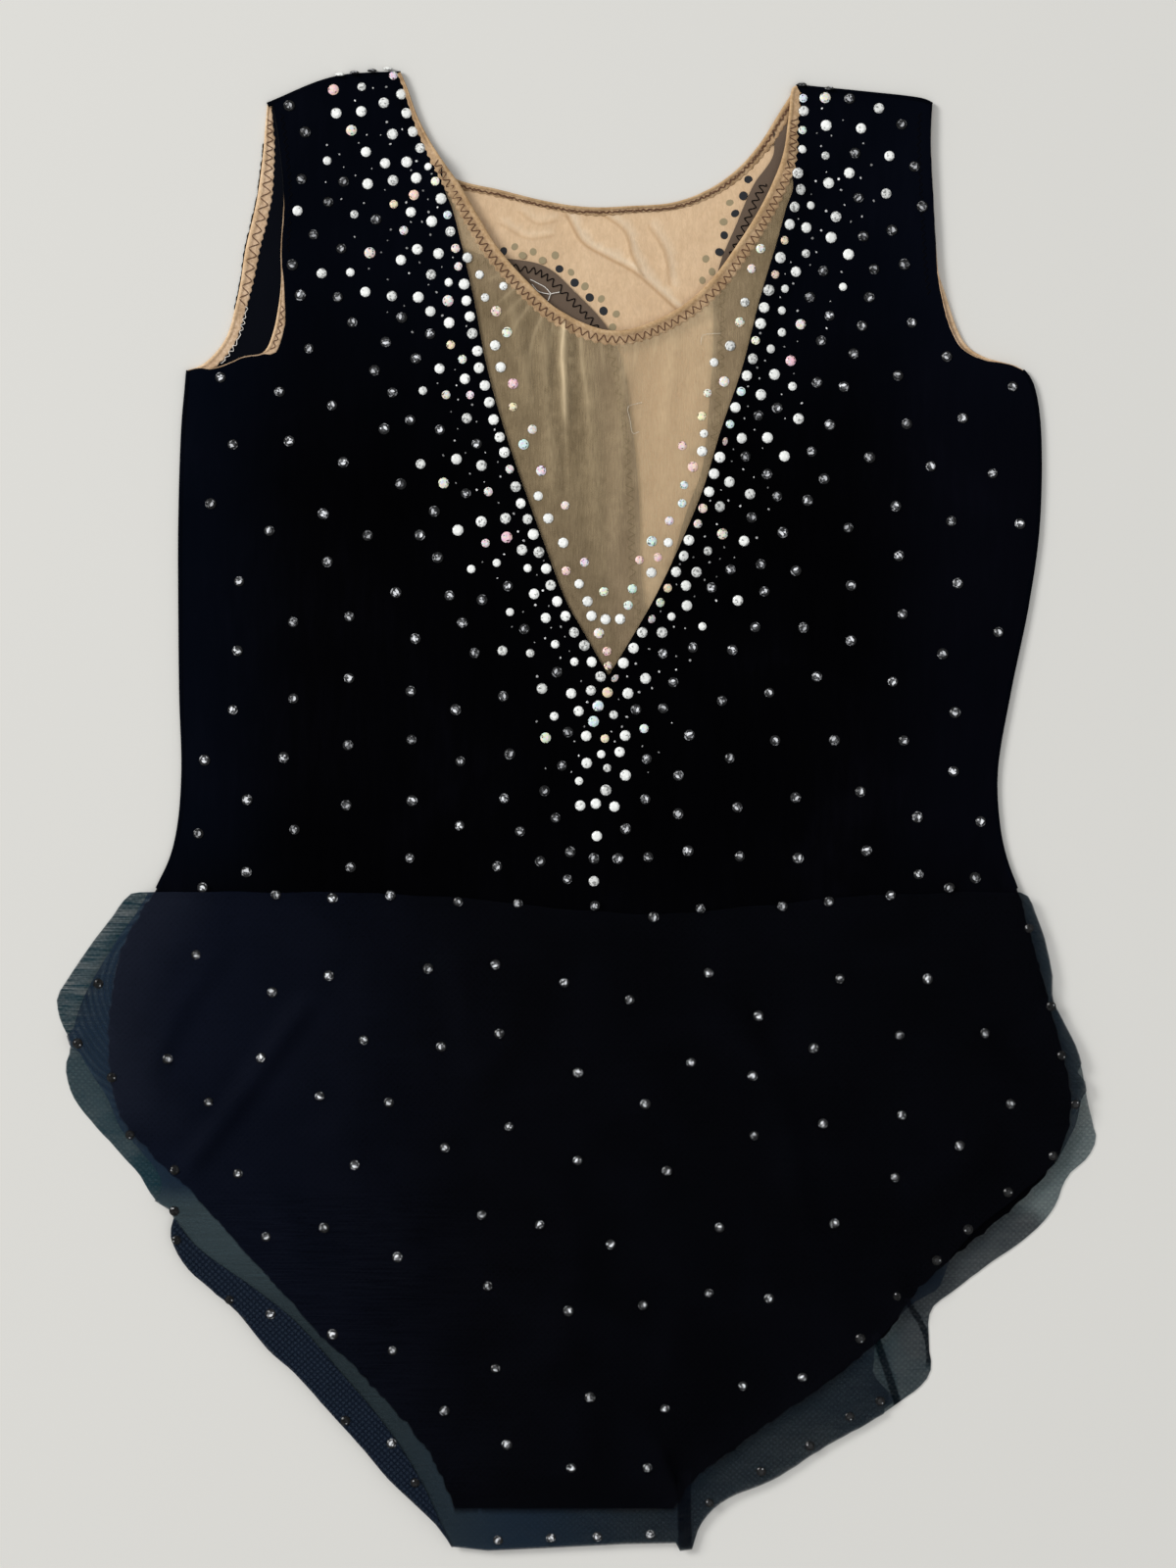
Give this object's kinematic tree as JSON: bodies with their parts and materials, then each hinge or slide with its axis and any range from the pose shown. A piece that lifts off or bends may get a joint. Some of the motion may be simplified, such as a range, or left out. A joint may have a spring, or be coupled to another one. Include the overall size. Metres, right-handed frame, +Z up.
{
  "type": "rhythmic gymnastics leotard laid flat",
  "caption": "Sleeveless dark velvet leotard with a deep sheer V inset, nude bindings and a sheer mesh skirt, laid flat front side up.",
  "frame": {"origin": "centre of the garment's box on the surface it rests on", "axes": "+Y towards the shoulders, +Z up out of the surface towards the garment's outer front face, +X towards the garment's left side, which is on the viewer's right"},
  "size_m": [0.4453, 0.6327, 0.0099],
  "materials": {
    "velvet": "black stretch velvet with a short pile",
    "nude_mesh": "matt nude power mesh",
    "binding": "nude elastic binding with zigzag stitching",
    "skirt_mesh": "black sheer stretch mesh",
    "crystal": "foil-backed faceted glass stones",
    "thread": "brown and white sewing thread"
  },
  "bodies": {
    "root": {"front_bodice": "velvet", "back_bodice": "velvet", "front_inset": "nude_mesh", "back_inset": "nude_mesh", "neck_binding_front": "binding", "neck_binding_back": "binding", "armhole_binding_left_front": "binding", "armhole_binding_left_back": "binding", "armhole_binding_right_front": "binding", "armhole_binding_right_back": "binding", "skirt_front": "skirt_mesh", "skirt_back": "skirt_mesh"}
  },
  "joints": []
}
